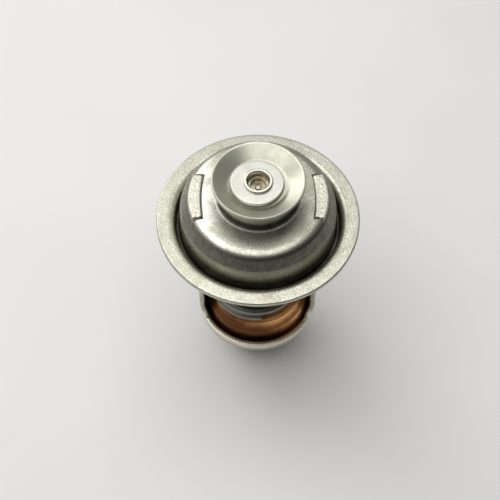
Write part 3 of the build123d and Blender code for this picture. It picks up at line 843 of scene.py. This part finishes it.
class THERMOSTAT_OT_housing(Operator):
    """Build the housing: flange, rolled edge, groove, dome and neck, with the slots for the tabs"""

    bl_idname = "thermostat.housing"
    bl_label = "Housing"

    def execute(self, context):
        h = context.scene.thermostat_housing
        c = context.scene.thermostat_cage
        f = context.scene.thermostat_finish
        groove_inner = h.groove_outer - h.groove_width
        corners = (
            (h.flange_radius, h.sheet, 0.0),
            (h.groove_outer, h.sheet, h.flange_roll),
            (h.groove_outer, h.groove_floor, h.groove_round),
            (groove_inner, h.groove_floor, h.groove_round),
            (groove_inner - h.wall_draft, h.cone_foot, h.cone_foot_round),
            (h.dome_corner, h.dome_top, h.dome_corner_round),
            (h.neck_radius, h.dome_top, h.neck_fillet),
            (h.neck_radius, h.neck_top, 0.0),
        )
        path = rounded_path(corners, steps=12)
        rims = (h.rim_round, FINE_EDGE), (SOFT_EDGE, h.seat_bevel)
        outline = filled_in(sheet_profile(path, h.sheet, *rims), HOUSING_STEP, closed=True)
        plate = put_turned("housing_pressing", outline, 288, True, housing_finish(f))

        inner, outer = c.leg_curve - c.slot_gap, c.leg_curve + c.sheet + c.slot_gap
        half_width = c.leg_half_width + c.slot_end_gap
        slot_low, slot_high = c.tab_seat - 2 * h.sheet, h.dome_top + h.sheet
        seat_low = c.tab_seat - c.seat_gap
        seat_inner, seat_outer = c.leg_curve + c.sheet, c.leg_curve + 4 * c.sheet
        cutters = []
        for side in (1.0, -1.0):
            cutters.append(slot_block(c, slot_low, slot_high, inner, outer, half_width, side))
            seat = slot_block(c, seat_low, slot_high, seat_inner, seat_outer, half_width, side)
            cutters.append(seat)
        cut_away(plate, cutters)
        dress(plate, "frame", "housing_steel", "dome_plate")
        return {"FINISHED"}


def fold_path(corners):
    """One face of the tab's fold, with four more points on the run in the middle."""
    path = rounded_path(corners, steps=10)
    middle = len(path) // 2
    spread = np.linspace(0.0, 1.0, 6)[1:-1, None]
    run = path[middle - 1] + (path[middle] - path[middle - 1]) * spread
    return np.vstack((path[:middle], run, path[middle:]))


def strap_ring(c):
    """The ring round a strap: places across its width, from -1 to 1, and through its thickness,
    from 0 to 1. Half of it is the inner face and the rounded edges on one side, and the other half
    is the same, turned about the middle."""
    quarter = np.linspace(0.0, math.pi / 2, 5)
    width_round, depth_round = c.rim_round / c.leg_half_width, c.rim_round / c.sheet
    flat = np.linspace(-1.0, 1.0, 25)[1:-1] * (1 - width_round)
    edge = 1 - width_round * (1 - np.sin(quarter))
    depth = depth_round * (1 - np.cos(quarter))
    across = np.concatenate((flat, edge, edge[::-1]))
    through = np.concatenate((np.zeros(len(flat)), depth, 1 - depth[::-1]))
    return np.concatenate((across, -across)), np.concatenate((through, 1 - through))


def strap(c, side):
    """One leg with its tab. Across the strap, a point stands at an angle about an upright axis, on
    the strap's own radius there; up the strap, that radius and the half width change from the round
    cup to the nearly flat leg, and above the leg's top the path folds outwards into the tab. The
    ring round the strap has its four long edges rounded, its foot is closed along the middle of the
    sheet, and the tab's end is trimmed to a circle about the main axis."""
    fold_x = c.cup_bore - c.leg_lean - c.leg_curve
    leg_top = c.tab_seat - c.fold_drop
    tab_middle = (c.tab_seat + c.tab_top) / 2
    inner, outer, end = c.leg_curve, c.leg_curve + c.sheet, c.leg_curve + c.tab_length
    inner_fold = fold_path((
        (inner, leg_top, 0.0),
        (inner, c.tab_top, c.tab_fold),
        (end, c.tab_top, c.rim_round),
        (end, tab_middle, 0.0),
    ))
    outer_fold = fold_path((
        (outer, leg_top, 0.0),
        (outer, c.tab_seat, SOFT_EDGE),
        (end, c.tab_seat, EASED_EDGE),
        (end, tab_middle, 0.0),
    ))

    # up the leg: its curvature turns from the cup's into its own, and its width from the root's
    foot, flat_foot = c.rim - c.leg_root_depth, c.rim + c.leg_root_rise
    root_z, leg_z = np.linspace(foot, flat_foot, 40), np.linspace(flat_foot, leg_top, 50)
    leg_z = np.concatenate(((foot,), root_z, leg_z[1:-1]))
    up = np.clip((leg_z - c.rim) / c.leg_root_rise, 0.0, 1.0)
    ease = up * up * (3 - 2 * up)
    leg_radius = 1.0 / ((1 - ease) / c.cup_bore + ease / c.leg_curve)
    above = np.clip((leg_z - flat_foot) / (leg_top - flat_foot), 0.0, 1.0)
    leg_axis = c.cup_bore - c.leg_lean * above - leg_radius
    flare = (c.leg_root_half_width - c.leg_foot_half_width) * np.exp(
        -np.maximum(leg_z - c.rim, 0.0) / c.flare_fade
    )
    taper = (c.leg_half_width - c.leg_foot_half_width) * above
    leg_half = c.leg_foot_half_width + taper + flare

    # the whole strap: each row's axis, curvature and half width, and its two faces
    folds = len(inner_fold)
    axis_x = np.concatenate((leg_axis, np.full(folds, fold_x)))[:, None]
    curve = np.concatenate((leg_radius, np.full(folds, c.leg_curve)))
    half = np.concatenate((leg_half, np.full(folds, c.leg_half_width)))
    inner_r, inner_z = np.concatenate((np.stack((leg_radius, leg_z), axis=1), inner_fold)).T
    outer_leg = np.stack((leg_radius + c.sheet, leg_z), axis=1)
    outer_r, outer_z = np.concatenate((outer_leg, outer_fold)).T

    across, through = strap_ring(c)
    through = np.tile(through, (len(curve), 1))
    through[0] = 0.5
    turn = np.arcsin(np.clip(half / curve, -1.0, 1.0))[:, None] * across
    radius = inner_r[:, None] + (outer_r - inner_r)[:, None] * through
    height = inner_z[:, None] + (outer_z - inner_z)[:, None] * through
    trimmed = -fold_x * np.cos(turn) + np.sqrt(c.tab_reach**2 - (fold_x * np.sin(turn)) ** 2)
    bend_end = outer + SOFT_EDGE
    stretch = (trimmed - bend_end) / (end - bend_end)
    on_tab = np.arange(len(curve))[:, None] >= len(leg_z)
    radius = np.where(
        on_tab & (radius > bend_end), bend_end + (radius - bend_end) * stretch, radius
    )
    x = side * (axis_x + radius * np.cos(turn))
    y = radius * np.sin(turn)
    points = np.stack((x, y, height), axis=2).reshape(-1, 3)
    return points, grid_faces(len(curve), len(across), wrap_columns=True)


class THERMOSTAT_OT_cage(Operator):
    """Build the cage: the cup with its well, and two legs with folded tabs"""

    bl_idname = "thermostat.cage"
    bl_label = "Cage"

    def execute(self, context):
        c = context.scene.thermostat_cage
        f = context.scene.thermostat_finish
        outer = c.cup_bore + c.sheet
        corners = (
            (0.0, CAGE_LOW.z, 0.0),
            (c.well_radius, CAGE_LOW.z, c.well_round),
            (c.well_radius, c.cup_floor, c.well_bend),
            (outer, c.cup_floor, c.cup_round),
            (outer, c.rim, 0.0),
        )
        path = rounded_path(corners, steps=10)
        well_floor = CAGE_LOW.z + c.sheet
        recess = (
            (c.recess_radius, well_floor),
            (c.recess_radius, well_floor - c.recess_depth),
            (0.0, well_floor - c.recess_depth),
        )
        outline = np.vstack((path, beside(path, c.sheet)[-1:0:-1], recess))
        rims = {len(path) - 1: c.rim_round, len(path): c.rim_round}
        outline = filled_in(rounded_path(with_rounds(outline, rims), steps=6), WIDE_STEP)
        points, faces = revolved(outline, 256, closed=False)
        for side in (1.0, -1.0):
            strap_points, strap_faces = strap(c, side)
            faces = np.concatenate((faces, strap_faces + len(points)))
            points = np.concatenate((points, strap_points))
        cage = put_mesh("cage_pressing", points, faces.tolist(), cage_finish(f))
        dress(cage, "frame", "cage_steel", "cage")
        return {"FINISHED"}


class THERMOSTAT_OT_valve(Operator):
    """Build the dished disc, its washer and the stem with its rolled end"""

    bl_idname = "thermostat.valve"
    bl_label = "Valve"

    def execute(self, context):
        v = context.scene.thermostat_valve
        f = context.scene.thermostat_finish
        self.disc(v, f)
        self.washer(v, f)
        self.stem(v, f)
        return {"FINISHED"}

    def disc(self, v, f):
        """The dished disc."""
        corners = (
            (DISC_HIGH.x, DISC_HIGH.z, 0.0),
            (v.disc_brim, DISC_HIGH.z, v.disc_brim_round),
            (v.disc_flat, v.disc_flat_top, v.disc_flat_round),
            (v.disc_bore, v.disc_flat_top, 0.0),
        )
        path = rounded_path(corners, steps=10)
        edges = (v.disc_rim_round, BROKEN_EDGE), (FINE_EDGE, FINE_EDGE)
        outline = filled_in(sheet_profile(path, v.disc_sheet, *edges), CLOSE_STEP, closed=True)
        disc = put_turned("disc_dished", outline, 256, True, disc_finish(f, v))
        dress(disc, "valve", "disc_steel", "valve_disc")

    def washer(self, v, f):
        """The loose washer. Its rim lies off its hole, and a point moves by its share of that."""
        corners = (
            (v.disc_bore, WASHER_LOW.z, FINE_EDGE),
            (v.washer_radius, WASHER_LOW.z, SHEARED_EDGE),
            (v.washer_radius, WASHER_HIGH.z, SOFT_EDGE),
            (v.disc_bore, WASHER_HIGH.z, BROKEN_EDGE),
        )
        outline = rounded_path(corners, closed=True, steps=6)
        outline = filled_in(outline, CLOSE_STEP, closed=True)
        share = (outline[:, 0] - v.disc_bore) / (v.washer_radius - v.disc_bore)
        finish = turned_steel("washer_steel_tumbled", f.washer_steel, 1500.0, 0.003, 0.38).finish()
        shift = -v.washer_offset * share
        washer = put_turned("washer_loose", outline, 192, True, finish, shift)
        dress(washer, "valve", "washer_steel", "hub_washer")

    def stem(self, v, f):
        """The stem: its foot, the shank, the collar, the rolled end and down the hole."""
        foot_top = STEM_LOW.z + v.foot_height
        collar_top = DISC_LOW.z - v.collar_gap
        collar_foot = collar_top - v.collar_height
        lip_foot = STEM_HIGH.z - v.lip_height
        bore_floor = STEM_HIGH.z - v.bore_depth
        pilot_floor = bore_floor - v.pilot_depth
        tenon = v.disc_bore - v.tenon_gap
        corners = (
            (0.0, STEM_LOW.z, 0.0),
            (v.foot_radius, STEM_LOW.z, PLAIN_EDGE),
            (v.foot_radius, foot_top, SOFT_EDGE),
            (v.shank_radius, foot_top, v.foot_fillet),
            (v.shank_radius, collar_foot, PLAIN_EDGE),
            (v.collar_radius, collar_foot, EASED_EDGE),
            (v.collar_radius, collar_top, EASED_EDGE),
            (tenon, collar_top, 0.0),
            (tenon, lip_foot, 0.0),
            (v.lip_radius, lip_foot, FINE_EDGE),
            (v.lip_radius, STEM_HIGH.z, v.lip_round),
            (v.mouth_radius, STEM_HIGH.z, SOFT_EDGE),
            (v.bore_radius, lip_foot, v.mouth_round),
            (v.bore_radius, bore_floor, FINE_EDGE),
            (v.pilot_radius, bore_floor, BROKEN_EDGE),
            (v.pilot_radius, pilot_floor, EASED_EDGE),
            (v.nub_radius, pilot_floor, BROKEN_EDGE),
            (v.nub_radius, pilot_floor + v.nub_height, SOFT_EDGE),
            (0.0, pilot_floor + v.nub_height, 0.0),
        )
        outline = filled_in(rounded_path(corners), WIDE_STEP)
        stem = put_turned("stem_turned", outline, 128, False, stem_finish(f))
        dress(stem, "valve", "stem_steel", "valve_stem")


def coil_surface(s):
    """The spring's wire. The centre line stands at the mean radius; going up, it turns left hand,
    and its height is the running sum of the pitch, which eases from the closed end turns to the
    open ones. A ring point is the centre plus the wire's radius in the outward and the upward
    direction. Heights are held between the ground faces, and at both tips the outer side is cut
    shorter than the inner side. Gives the points, the faces with both caps, and U along and V round
    the wire."""
    wire = s.wire / 2
    stations, count, tip_stations = int(s.turns * 96) + 1, 40, 6.0
    turn = np.linspace(0.0, s.turns, stations)
    low, high = s.foot + wire - s.grind, s.head - wire + s.grind
    from_tip = np.minimum(turn, s.turns - turn)
    ease = np.clip(from_tip - s.closed_turns, 0.0, s.easing_turns) / s.easing_turns
    ease = ease * ease * (3 - 2 * ease)
    open_sum = np.concatenate(((0.0,), np.cumsum((ease[1:] + ease[:-1]) / 2) * turn[1]))
    extra = (high - low - s.closed_pitch * s.turns) / open_sum[-1]
    height = (low + s.closed_pitch * turn + extra * open_sum)[:, None]

    ring = np.linspace(0.0, 2 * math.pi, count, endpoint=False)
    outward, upward = wire * np.cos(ring), wire * np.sin(ring)
    near_start = np.clip(1 - np.arange(stations) / tip_stations, 0.0, 1.0)
    near_tips = near_start[::-1] - near_start
    slant = s.tip_slant * (outward / wire + 1) / 2
    sweep = (s.tip_angle - 2 * math.pi * turn)[:, None] + near_tips[:, None] * slant
    radius = s.mean_radius + outward
    x = -s.offset + radius * np.cos(sweep)
    y = radius * np.sin(sweep)
    z = np.clip(height + upward, s.foot, s.head)
    points = np.stack((x, y, z), axis=2).reshape(-1, 3)

    first = np.arange(count)
    last = first + (stations - 1) * count
    start, end = np.full(count, len(points)), np.full(count, len(points) + 1)
    points = np.vstack((points, points[first].mean(axis=0), points[last].mean(axis=0)))
    start_cap = np.stack((start, np.roll(first, -1), first), axis=1)
    end_cap = np.stack((end, last, np.roll(last, -1)), axis=1)
    faces = grid_faces(stations, count, wrap_columns=True).tolist()
    faces += start_cap.tolist() + end_cap.tolist()
    along = np.append(np.repeat(turn, count), (0.0, s.turns))
    round_wire = np.tile(np.linspace(0.0, 1.0, count, endpoint=False), stations)
    return points, faces, np.stack((along, np.append(round_wire, (0.5, 0.5))), axis=1)


class THERMOSTAT_OT_spring(Operator):
    """Build the return spring with its closed and ground end coils"""

    bl_idname = "thermostat.spring"
    bl_label = "Return spring"

    def execute(self, context):
        s = context.scene.thermostat_spring
        f = context.scene.thermostat_finish
        points, faces, uv = coil_surface(s)
        spring = put_mesh("spring_coil", points, faces, wire_finish(f), merged=False, loop_uv=uv)
        dress(spring, "frame", "spring_steel", "return_spring")
        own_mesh(spring)
        return {"FINISHED"}


class THERMOSTAT_OT_element(Operator):
    """Build the copper can, the guide and the piston, and finish the pieces sealed inside"""

    bl_idname = "thermostat.element"
    bl_label = "Wax element"

    def execute(self, context):
        e = context.scene.thermostat_element
        f = context.scene.thermostat_finish
        self.can(e, f)
        self.guide(e, f)
        self.piston(e, f)
        for node, finish in SEALED.items():
            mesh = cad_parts[node].data
            mesh.materials.clear()
            mesh.materials.append(moulded_finish(*finish))
        return {"FINISHED"}

    def can(self, e, f):
        """The copper can, open below, with its edge crimped in."""
        crown_foot = CAN_HIGH.z - e.crown_height
        crimp_top = CAN_LOW.z + e.crimp_height
        corners = (
            (0.0, CAN_HIGH.z, 0.0),
            (e.crown_radius, CAN_HIGH.z, e.corner_round),
            (e.crown_radius, crown_foot, e.shoulder_round),
            (CAN_HIGH.x, crown_foot - e.shoulder_height, e.corner_round),
            (CAN_HIGH.x, crimp_top, 0.0),
        )
        path = rounded_path(corners, steps=10)
        crimp = (
            (CAN_HIGH.x, CAN_LOW.z),
            (CAN_HIGH.x - e.crimp_width, CAN_LOW.z),
            (CAN_HIGH.x - e.crimp_width, crimp_top),
        )
        outline = np.vstack((path[:-1], crimp, beside(path, -e.can_wall)[::-1]))
        last = len(path)
        rounds = {last - 1: e.crimp_round, last: SHEARED_EDGE, last + 1: SHEARED_EDGE}
        outline = filled_in(rounded_path(with_rounds(outline, rounds)), WIDE_STEP)
        can = put_turned("can_drawn", outline, 224, False, copper_finish(f))
        dress(can, "valve", "can_copper", "element_cup")

    def guide(self, e, f):
        """The brass guide, with a flange in the can and a funnel over its bore."""
        corners = (
            (e.bore_radius, GUIDE_LOW.z, SOFT_EDGE),
            (e.boss_radius, GUIDE_LOW.z, e.lead),
            (e.boss_radius, e.flange_foot, e.boss_fillet),
            (GUIDE_HIGH.x, e.flange_foot, BROKEN_EDGE),
            (GUIDE_HIGH.x, GUIDE_HIGH.z, BROKEN_EDGE),
            (e.boss_radius, GUIDE_HIGH.z, BROKEN_EDGE),
            (e.bore_radius, GUIDE_HIGH.z - e.funnel, BROKEN_EDGE),
        )
        outline = rounded_path(corners, closed=True, steps=6)
        outline = filled_in(outline, WIDE_STEP, closed=True)
        finish = turned_steel("guide_brass_turned", f.brass, 4200.0, 0.012, 0.28).finish()
        guide = put_turned("guide_turned", outline, 160, True, finish)
        dress(guide, "valve", "guide_brass", "piston_guide")

    def piston(self, e, f):
        """The ground piston."""
        corners = (
            (0.0, PISTON_LOW.z, 0.0),
            (PISTON_HIGH.x, PISTON_LOW.z, e.piston_round),
            (PISTON_HIGH.x, PISTON_HIGH.z, e.piston_round),
            (0.0, PISTON_HIGH.z, 0.0),
        )
        outline = filled_in(rounded_path(corners), WIDE_STEP)
        finish = turned_steel("piston_steel_ground", f.piston_steel, 7000.0, 0.002, 0.14).finish()
        piston = put_turned("piston_ground", outline, 96, False, finish)
        dress(piston, "frame", "piston_steel", "piston")


class THERMOSTAT_OT_studio(Operator):
    """Set the floor, the soft lamps, the even world light and the camera"""

    bl_idname = "thermostat.studio"
    bl_label = "Studio"

    def execute(self, context):
        scene = context.scene
        t = scene.thermostat_studio
        f = scene.thermostat_finish
        half, level = t.floor_size / 2, CAGE_LOW.z
        corners = ((-half, -half), (half, -half), (half, half), (-half, half))
        points = np.array([(*corner, level) for corner in corners])
        put_mesh("studio_floor", points, [(0, 1, 2, 3)], floor_finish(f))
        self.lamp(scene, "overhead_lamp", OVERHEAD_LAMP, t.key_size, t.key_power)
        self.lamp(scene, "back_left_lamp", BACK_LEFT_LAMP, t.back_size, t.back_power)
        self.world(scene, t, f)
        self.camera(scene, t)
        scene.view_settings.view_transform = "Standard"
        return {"FINISHED"}

    def lamp(self, scene, name, ends, size, power):
        """A square soft lamp at the first end of its ray, facing the second."""
        data = bpy.data.lights.new(name, "AREA")
        data.shape = "SQUARE"
        data.size = size
        data.energy = power
        lamp = bpy.data.objects.new(name, data)
        place, aim = np.array(ends)
        ray = place - aim
        lean = math.atan2(math.hypot(ray[0], ray[1]), ray[2])
        lamp.location = place
        lamp.rotation_euler = (lean, 0.0, math.atan2(ray[1], ray[0]) + math.pi / 2)
        scene.collection.objects.link(lamp)

    def world(self, scene, t, f):
        """A sky that is dim in front and grows bright towards its back left."""
        world = bpy.data.worlds.new("studio_world")
        world.use_nodes = True
        made = NodeTree(world.node_tree)
        view = made.add("ShaderNodeTexCoord").outputs["Generated"]
        towards = made.vector("DOT_PRODUCT", view, BRIGHT_SKY, output="Value")
        sky = world.node_tree.nodes["Background"]
        made.feed(sky.inputs["Color"], f.sky)
        strength = made.between(towards, *SKY_FADE, t.world_low, t.world_high)
        made.feed(sky.inputs["Strength"], strength)
        scene.world = world

    def camera(self, scene, t):
        """The camera at the photograph's angle, placed from where it sees the flange's centre."""
        data = bpy.data.cameras.new("photo_camera")
        data.sensor_width = t.sensor
        data.lens = t.focal
        data.clip_start = 0.01
        data.clip_end = 20.0
        camera = bpy.data.objects.new("photo_camera", data)
        scene.collection.objects.link(camera)
        tilt = t.elevation
        right = np.array((1.0, 0.0, 0.0))
        up = np.array((0.0, math.sin(tilt), math.cos(tilt)))
        ahead = np.array((0.0, math.cos(tilt), -math.sin(tilt)))
        flange_centre = np.array((0.0, 0.0, scene.thermostat_housing.sheet))
        offset = t.view_right * right + t.view_up * up + t.view_depth * ahead
        camera.location = flange_centre - offset
        camera.rotation_euler = (math.pi / 2 - tilt, 0.0, 0.0)
        scene.camera = camera


class THERMOSTAT_PT_sidebar(Panel):
    """Buttons for the pieces and their sizes"""

    bl_idname = "THERMOSTAT_PT_sidebar"
    bl_label = "Engine Thermostat"
    bl_space_type = "VIEW_3D"
    bl_region_type = "UI"
    bl_category = "Thermostat"

    def draw(self, context):
        for operator in OPERATORS:
            self.layout.operator(operator.bl_idname)
        for group, kind in SETTINGS:
            settings = getattr(context.scene, group)
            box = self.layout.box()
            for key in kind.__annotations__:
                box.prop(settings, key)


SETTINGS = (
    ("thermostat_housing", ThermostatHousing),
    ("thermostat_cage", ThermostatCage),
    ("thermostat_valve", ThermostatValve),
    ("thermostat_element", ThermostatElement),
    ("thermostat_spring", ThermostatSpring),
    ("thermostat_finish", ThermostatFinish),
    ("thermostat_studio", ThermostatStudio),
)
OPERATORS = (
    THERMOSTAT_OT_housing,
    THERMOSTAT_OT_cage,
    THERMOSTAT_OT_valve,
    THERMOSTAT_OT_spring,
    THERMOSTAT_OT_element,
    THERMOSTAT_OT_studio,
)


def register():
    """Registers the settings, the operators and the sidebar."""
    for name, kind in SETTINGS:
        bpy.utils.register_class(kind)
        setattr(bpy.types.Scene, name, PointerProperty(type=kind))
    for operator in OPERATORS:
        bpy.utils.register_class(operator)
    bpy.utils.register_class(THERMOSTAT_PT_sidebar)


def unregister():
    """Takes them away again, last first."""
    bpy.utils.unregister_class(THERMOSTAT_PT_sidebar)
    for operator in reversed(OPERATORS):
        bpy.utils.unregister_class(operator)
    for name, kind in reversed(SETTINGS):
        delattr(bpy.types.Scene, name)
        bpy.utils.unregister_class(kind)


def main():
    """Registers everything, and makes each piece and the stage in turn."""
    register()
    bpy.ops.thermostat.housing()
    bpy.ops.thermostat.cage()
    bpy.ops.thermostat.valve()
    bpy.ops.thermostat.spring()
    bpy.ops.thermostat.element()
    bpy.ops.thermostat.studio()


if __name__ == "__main__":
    main()
